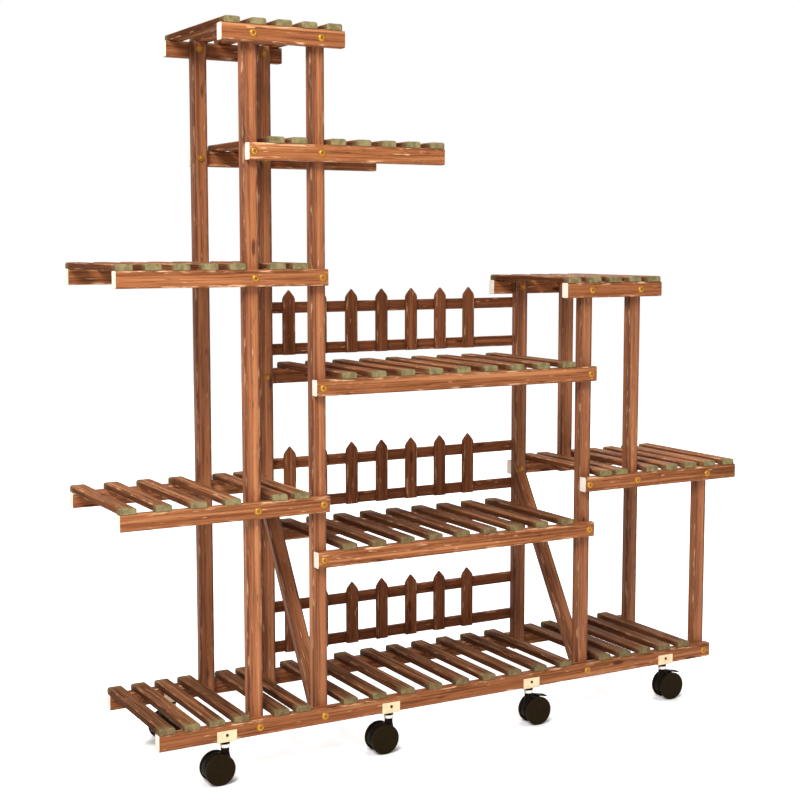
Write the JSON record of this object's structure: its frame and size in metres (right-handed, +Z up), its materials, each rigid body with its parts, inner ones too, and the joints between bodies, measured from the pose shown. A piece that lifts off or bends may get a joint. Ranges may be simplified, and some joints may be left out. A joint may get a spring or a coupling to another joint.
{
  "type": "ladder plant stand",
  "caption": "Tiered ladder plant stand of stained timber: bolted posts and rails carry slatted shelves at several heights, with low picket fences behind and swivel casters below.",
  "frame": {"origin": "middle of the stand's length and depth, on the floor under its casters", "axes": "+Z up, +X along the stand's length towards the lower right-hand tower, +Y towards the back, where the picket fences are"},
  "size_m": [1.195, 0.263, 1.176],
  "materials": {
    "post_timber": "stained and lightly varnished softwood",
    "rail_timber": "stained and lightly varnished softwood",
    "slat_timber": "stained softwood with olive green ends",
    "fence_timber": "dark stained softwood",
    "brass_fixings": "bright, slightly dulled",
    "bracket_metal": "pale yellow zinc",
    "screw_metal": "blackened",
    "stem_metal": "zinc plated",
    "caster_plastic": "satin black",
    "wheel_plastic": "satin brown black"
  },
  "bodies": {
    "stand": {"base_back_rail": "rail_timber", "base_fence": "fence_timber", "base_front_rail": "rail_timber", "base_slats": "slat_timber", "bracket_screws": "screw_metal", "caster_brackets": "bracket_metal", "caster_stems": "stem_metal", "center_high_back_rail": "rail_timber", "center_high_fence": "fence_timber", "center_high_front_rail": "rail_timber", "center_high_slats": "slat_timber", "center_low_back_rail": "rail_timber", "center_low_fence": "fence_timber", "center_low_front_rail": "rail_timber", "center_low_slats": "slat_timber", "crown_back_rail": "rail_timber", "crown_front_rail": "rail_timber", "crown_slats": "slat_timber", "diagonal_braces": "post_timber", "inner_left_back_post": "post_timber", "inner_left_front_post": "post_timber", "inner_right_back_post": "post_timber", "inner_right_front_post": "post_timber", "left_back_rail": "rail_timber", "left_front_rail": "rail_timber", "left_slats": "slat_timber", "lower_left_back_rail": "rail_timber", "lower_left_front_rail": "rail_timber", "lower_left_slats": "slat_timber", "middle_back_post": "post_timber", "middle_front_post": "post_timber", "outer_left_back_post": "post_timber", "outer_left_front_post": "post_timber", "outer_right_back_post": "post_timber", "outer_right_front_post": "post_timber", "rail_bolts": "brass_fixings", "rail_nuts": "brass_fixings", "right_high_back_rail": "rail_timber", "right_high_front_rail": "rail_timber", "right_high_slats": "slat_timber", "right_low_back_rail": "rail_timber", "right_low_front_rail": "rail_timber", "right_low_slats": "slat_timber", "upper_back_rail": "rail_timber", "upper_front_rail": "rail_timber", "upper_slats": "slat_timber"},
    "front_left_swivel": {"front_left_caster_housing": "caster_plastic"},
    "front_left_wheel": {"front_left_caster_wheels": "wheel_plastic"},
    "front_center_left_swivel": {"front_center_left_caster_housing": "caster_plastic"},
    "front_center_left_wheel": {"front_center_left_caster_wheels": "wheel_plastic"},
    "front_center_right_swivel": {"front_center_right_caster_housing": "caster_plastic"},
    "front_center_right_wheel": {"front_center_right_caster_wheels": "wheel_plastic"},
    "front_right_swivel": {"front_right_caster_housing": "caster_plastic"},
    "front_right_wheel": {"front_right_caster_wheels": "wheel_plastic"},
    "back_left_swivel": {"back_left_caster_housing": "caster_plastic"},
    "back_left_wheel": {"back_left_caster_wheels": "wheel_plastic"},
    "back_right_swivel": {"back_right_caster_housing": "caster_plastic"},
    "back_right_wheel": {"back_right_caster_wheels": "wheel_plastic"},
    "front_center_right_brake": {"front_center_right_brake_lever": "caster_plastic"},
    "front_right_brake": {"front_right_brake_lever": "caster_plastic"}
  },
  "joints": [
    {"name": "front_left_swivel_turn", "type": "hinge", "parent": "stand", "child": "front_left_swivel", "pos_m": [-0.4315, -0.1165, 0.045], "axis": [0, 0, 1], "continuous": true},
    {"name": "front_left_wheel_roll", "type": "hinge", "parent": "front_left_swivel", "child": "front_left_wheel", "pos_m": [-0.4445, -0.1165, 0.025], "axis": [0, 1, 0], "continuous": true},
    {"name": "front_center_left_swivel_turn", "type": "hinge", "parent": "stand", "child": "front_center_left_swivel", "pos_m": [-0.1395, -0.1165, 0.045], "axis": [0, 0, 1], "continuous": true},
    {"name": "front_center_left_wheel_roll", "type": "hinge", "parent": "front_center_left_swivel", "child": "front_center_left_wheel", "pos_m": [-0.1525, -0.1165, 0.025], "axis": [0, 1, 0], "continuous": true},
    {"name": "front_center_right_swivel_turn", "type": "hinge", "parent": "stand", "child": "front_center_right_swivel", "pos_m": [0.1405, -0.1165, 0.045], "axis": [0, 0, 1], "continuous": true},
    {"name": "front_center_right_wheel_roll", "type": "hinge", "parent": "front_center_right_swivel", "child": "front_center_right_wheel", "pos_m": [0.1535, -0.1165, 0.025], "axis": [0, 1, 0], "continuous": true},
    {"name": "front_right_swivel_turn", "type": "hinge", "parent": "stand", "child": "front_right_swivel", "pos_m": [0.4385, -0.1165, 0.045], "axis": [0, 0, 1], "continuous": true},
    {"name": "front_right_wheel_roll", "type": "hinge", "parent": "front_right_swivel", "child": "front_right_wheel", "pos_m": [0.4515, -0.1165, 0.025], "axis": [0, 1, 0], "continuous": true},
    {"name": "back_left_swivel_turn", "type": "hinge", "parent": "stand", "child": "back_left_swivel", "pos_m": [-0.4315, 0.1165, 0.045], "axis": [0, 0, 1], "continuous": true},
    {"name": "back_left_wheel_roll", "type": "hinge", "parent": "back_left_swivel", "child": "back_left_wheel", "pos_m": [-0.4445, 0.1165, 0.025], "axis": [0, 1, 0], "continuous": true},
    {"name": "back_right_swivel_turn", "type": "hinge", "parent": "stand", "child": "back_right_swivel", "pos_m": [0.4385, 0.1165, 0.045], "axis": [0, 0, 1], "continuous": true},
    {"name": "back_right_wheel_roll", "type": "hinge", "parent": "back_right_swivel", "child": "back_right_wheel", "pos_m": [0.4515, 0.1165, 0.025], "axis": [0, 1, 0], "continuous": true},
    {"name": "front_center_right_brake_press", "type": "hinge", "parent": "front_center_right_swivel", "child": "front_center_right_brake", "pos_m": [0.15683, -0.1165, 0.04065], "axis": [0, 1, 0], "range_deg": [0, 10]},
    {"name": "front_right_brake_press", "type": "hinge", "parent": "front_right_swivel", "child": "front_right_brake", "pos_m": [0.45483, -0.1165, 0.04065], "axis": [0, 1, 0], "range_deg": [0, 10]}
  ]
}
